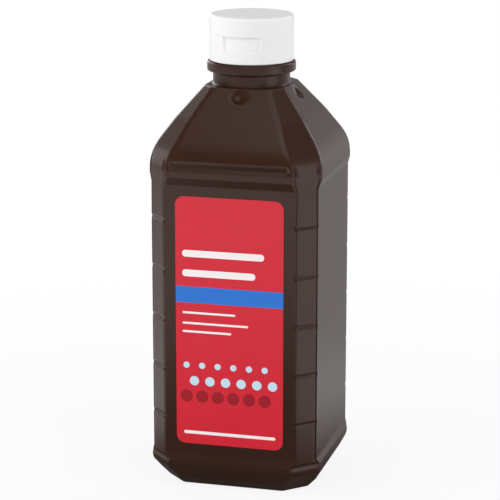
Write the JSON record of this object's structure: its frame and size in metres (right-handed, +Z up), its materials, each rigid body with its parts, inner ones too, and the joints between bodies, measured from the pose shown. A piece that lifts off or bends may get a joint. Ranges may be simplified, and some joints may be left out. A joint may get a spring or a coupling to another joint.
{
  "type": "flip-top antiseptic solution bottle",
  "caption": "Square brown plastic solution bottle with grooved corner columns, recessed label panels, a threaded neck and a white screw cap with a flip-up lid.",
  "frame": {"origin": "centre of the standing face, on the bottle's axis", "axes": "+Z up the bottle's axis, -Y out of the front label, +Y towards the cap's hinge, +X to the right seen from the front"},
  "size_m": [0.0654, 0.0654, 0.1756],
  "materials": {
    "brown_plastic": "satin moulded HDPE",
    "front_print": "satin printed film",
    "back_print": "satin printed film",
    "seal_foil": "foil laminate",
    "cap_plastic": "satin moulded PP"
  },
  "bodies": {
    "bottle": {"bottle_shell": "brown_plastic", "front_label": "front_print", "back_label": "back_print"},
    "seal": {"mouth_seal": "seal_foil"},
    "cap": {"cap_base": "cap_plastic", "living_hinge": "cap_plastic"},
    "lid": {"cap_lid": "cap_plastic"}
  },
  "joints": [
    {"name": "cap_lift", "type": "slide", "parent": "bottle", "child": "seal", "axis": [0, 0, 1], "range_m": [0, 0.0106]},
    {"name": "cap_turn", "type": "hinge", "parent": "seal", "child": "cap", "pos_m": [0, 0, 0.1586], "axis": [0, 0, 1], "range_deg": [0, 900]},
    {"name": "lid_flip", "type": "hinge", "parent": "cap", "child": "lid", "pos_m": [0, 0.01523, 0.16865], "axis": [-1, 0, 0], "range_deg": [0, 150], "deforming": ["living_hinge"]}
  ],
  "couplings": [
    {"joint": "cap_lift", "follows": "cap_turn", "m_per_rad": 0.0006737}
  ]
}
